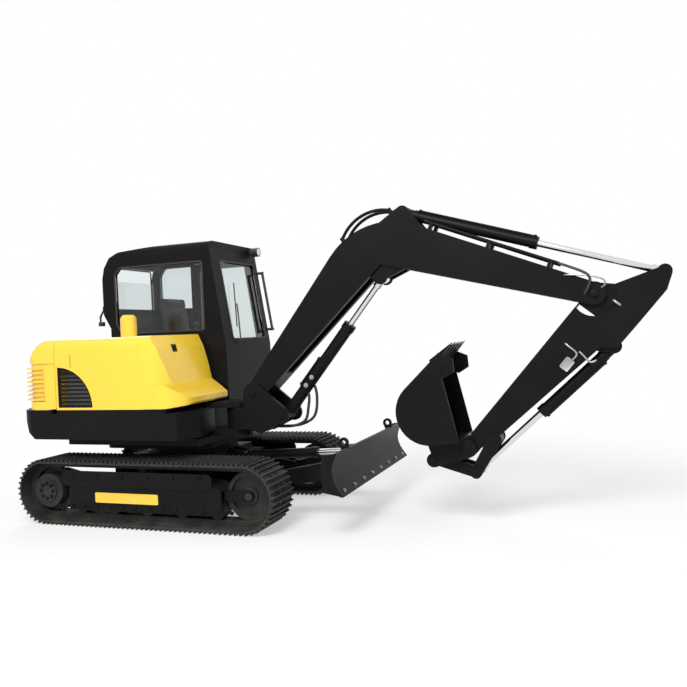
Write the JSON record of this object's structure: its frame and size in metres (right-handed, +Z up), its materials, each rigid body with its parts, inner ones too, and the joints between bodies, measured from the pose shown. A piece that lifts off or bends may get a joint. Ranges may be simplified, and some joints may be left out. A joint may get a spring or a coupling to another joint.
{
  "type": "crawler_excavator",
  "caption": "Compact crawler excavator with a swing boom, a dozer blade, a closed cab, yellow engine covers and a black boom, arm and toothed bucket.",
  "frame": {"origin": "the middle of the machine's box at rest, on the ground under the tracks", "axes": "+X forward along the boom, +Y to the machine's left, +Z up"},
  "size_m": [5.8116, 1.88, 2.6527],
  "materials": {
    "black_paint": "satin",
    "yellow_paint": "gloss",
    "track_steel": "worn matt",
    "rod_chrome": "polished",
    "bare_steel": "machined",
    "cab_glass": "clear grey",
    "seat_cloth": "woven",
    "dark_plastic": "matt",
    "engine_grey": "matt",
    "lamp_grey": "gloss"
  },
  "bodies": {
    "undercarriage": {"centre_frame": "black_paint", "track_frame_right": "black_paint", "track_frame_left": "black_paint", "track_right": "track_steel", "track_left": "track_steel", "sprockets": "track_steel", "idlers": "track_steel", "track_rollers": "track_steel", "slew_ring": "bare_steel"},
    "blade": {"blade": "black_paint"},
    "blade_cylinder": {"blade_cylinder": "black_paint"},
    "blade_rod": {"blade_rod": "rod_chrome"},
    "upper": {"upper_frame": "black_paint", "counterweight": "black_paint", "side_cover": "yellow_paint", "side_grille": "black_paint", "engine": "engine_grey", "tank": "engine_grey", "exhaust": "yellow_paint", "rear_bracket": "dark_plastic", "cab_floor": "black_paint", "cab_right_wall": "black_paint", "cab_left_wall": "black_paint", "cab_rear_wall": "black_paint", "cab_front": "black_paint", "cab_roof": "black_paint", "cab_glass": "cab_glass", "seat": "seat_cloth", "seat_base": "dark_plastic", "consoles": "dark_plastic", "work_lamp": "lamp_grey", "grab_rail": "dark_plastic"},
    "hood": {"rear_hood": "yellow_paint"},
    "door": {"cab_door": "black_paint", "door_glass": "cab_glass"},
    "swing_post": {"swing_post": "black_paint"},
    "boom": {"boom": "black_paint", "boom_tubes": "black_paint"},
    "boom_cylinder": {"boom_cylinder": "black_paint"},
    "boom_rod": {"boom_rod": "rod_chrome"},
    "arm_cylinder": {"arm_cylinder": "black_paint"},
    "arm_rod": {"arm_rod": "rod_chrome"},
    "arm": {"arm": "black_paint"},
    "bucket_cylinder": {"bucket_cylinder": "black_paint"},
    "bucket_rod": {"bucket_rod": "rod_chrome"},
    "rocker": {"rocker": "black_paint"},
    "bucket_link": {"bucket_link": "black_paint"},
    "bucket": {"bucket": "black_paint"}
  },
  "joints": [
    {"name": "slew", "type": "hinge", "parent": "undercarriage", "child": "upper", "pos_m": [-1.40575, 0, 0.69], "axis": [0, 0, 1], "continuous": true},
    {"name": "blade", "type": "hinge", "parent": "undercarriage", "child": "blade", "pos_m": [-0.47575, 0, 0.33], "axis": [0, -1, 0], "range_deg": [-46, 3]},
    {"name": "blade_cylinder", "type": "hinge", "parent": "undercarriage", "child": "blade_cylinder", "pos_m": [-0.84575, 0, 0.49], "axis": [0, -1, 0], "range_deg": [-30.66, 2.47]},
    {"name": "blade_rod", "type": "slide", "parent": "blade_cylinder", "child": "blade_rod", "axis": [0.9982, 0, 0.0601], "range_m": [-0.0082, 0.0821]},
    {"name": "swing", "type": "hinge", "parent": "upper", "child": "swing_post", "pos_m": [-0.78575, -0.2, 0.89], "axis": [0, 0, 1], "range_deg": [-55, 75]},
    {"name": "boom", "type": "hinge", "parent": "swing_post", "child": "boom", "pos_m": [-0.55575, -0.2, 1.11], "axis": [0, -1, 0], "range_deg": [-54, 52]},
    {"name": "boom_cylinder", "type": "hinge", "parent": "swing_post", "child": "boom_cylinder", "pos_m": [-0.28575, -0.2, 0.912], "axis": [0, -1, 0], "range_deg": [-55.23, 53.21]},
    {"name": "boom_rod", "type": "slide", "parent": "boom_cylinder", "child": "boom_rod", "axis": [0.6326, 0, 0.7745], "range_m": [-0.2764, 0.2663]},
    {"name": "arm", "type": "hinge", "parent": "boom", "child": "arm", "pos_m": [2.35446, -0.2, 1.8302], "axis": [0, 1, 0], "range_deg": [-100, 6]},
    {"name": "arm_cylinder", "type": "hinge", "parent": "boom", "child": "arm_cylinder", "pos_m": [0.86928, -0.2, 2.59481], "axis": [0, 1, 0], "range_deg": [-9.36, 1.03]},
    {"name": "arm_rod", "type": "slide", "parent": "arm_cylinder", "child": "arm_rod", "axis": [0.9539, 0, -0.3001], "range_m": [-0.7741, 0.0493]},
    {"name": "bucket", "type": "hinge", "parent": "arm", "child": "bucket", "pos_m": [1.34482, -0.2, 0.63968], "axis": [0, 1, 0], "range_deg": [-130, 4]},
    {"name": "rocker", "type": "hinge", "parent": "arm", "child": "rocker", "pos_m": [1.56463, -0.2, 0.71025], "axis": [0, 1, 0], "range_deg": [-111.37, 3.91]},
    {"name": "bucket_link", "type": "hinge", "parent": "bucket", "child": "bucket_link", "pos_m": [1.0698, -0.2, 0.54426], "axis": [0, -1, 0], "range_deg": [-77.03, 2.85]},
    {"name": "bucket_cylinder", "type": "hinge", "parent": "arm", "child": "bucket_cylinder", "pos_m": [2.48425, -0.2, 1.42511], "axis": [0, 1, 0], "range_deg": [-13.69, 0.91]},
    {"name": "bucket_rod", "type": "slide", "parent": "bucket_cylinder", "child": "bucket_rod", "axis": [-0.7388, 0, -0.6739], "range_m": [-0.4548, 0.0169]},
    {"name": "cab_door", "type": "hinge", "parent": "upper", "child": "door", "pos_m": [-1.83875, 0.9185, 1.7], "axis": [0, 0, 1], "range_deg": [0, 150]},
    {"name": "rear_hood", "type": "hinge", "parent": "upper", "child": "hood", "pos_m": [-2.31575, 0, 1.653], "axis": [0, 1, 0], "range_deg": [0, 45]}
  ],
  "couplings": [
    {"joint": "blade_cylinder", "follows": "blade", "ratio": 0.65561},
    {"joint": "blade_rod", "follows": "blade", "m_per_rad": -0.09854},
    {"joint": "boom_cylinder", "follows": "boom", "ratio": 1.0136},
    {"joint": "boom_rod", "follows": "boom", "m_per_rad": 0.29013},
    {"joint": "arm_cylinder", "follows": "arm", "ratio": 0.08855},
    {"joint": "arm_rod", "follows": "arm", "m_per_rad": 0.44182},
    {"joint": "rocker", "follows": "bucket", "ratio": 0.85281},
    {"joint": "bucket_link", "follows": "bucket", "ratio": 0.58867},
    {"joint": "bucket_cylinder", "follows": "bucket", "ratio": 0.10143},
    {"joint": "bucket_rod", "follows": "bucket", "m_per_rad": 0.19911}
  ]
}
